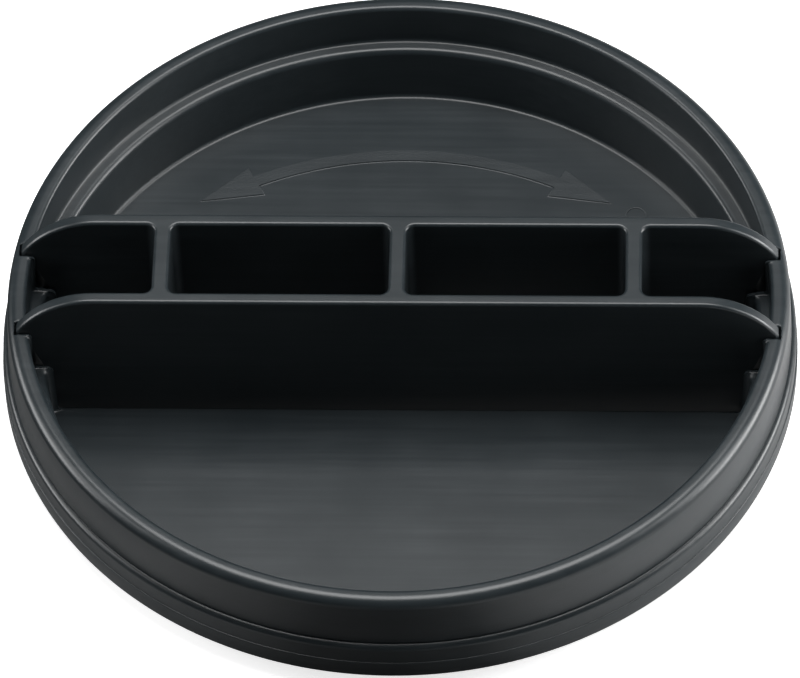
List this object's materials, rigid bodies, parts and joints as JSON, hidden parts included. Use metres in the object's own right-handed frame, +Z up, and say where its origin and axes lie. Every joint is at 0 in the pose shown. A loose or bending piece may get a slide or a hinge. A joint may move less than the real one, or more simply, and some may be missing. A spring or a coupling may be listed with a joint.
{
  "type": "bucket organizer tray",
  "caption": "Round tool and parts tray that turns on a ring snapped over a pail's rim, with a lift-out divider that makes narrow pockets between two half-moon bins.",
  "frame": {"origin": "on the axis, at the underside of the tray's floor", "axes": "+Z up along the axis that the tray turns about, +X along the divider, +Y towards the bin with the arrow"},
  "size_m": [0.3098, 0.3098, 0.0688],
  "materials": {
    "base_ring": "moulded black polyethylene, satin",
    "tray": "moulded black polyethylene, satin",
    "divider": "moulded black polyethylene, satin"
  },
  "bodies": {
    "base": {"base_ring": "base_ring"},
    "tray": {"tray": "tray"},
    "divider": {"divider": "divider"}
  },
  "joints": [
    {"name": "tray_turn", "type": "hinge", "parent": "base", "child": "tray", "pos_m": [0, 0, 0.0264], "axis": [0, 0, 1], "continuous": true},
    {"name": "divider_lift", "type": "slide", "parent": "tray", "child": "divider", "axis": [0, 0, 1], "range_m": [0, 0.05]}
  ]
}
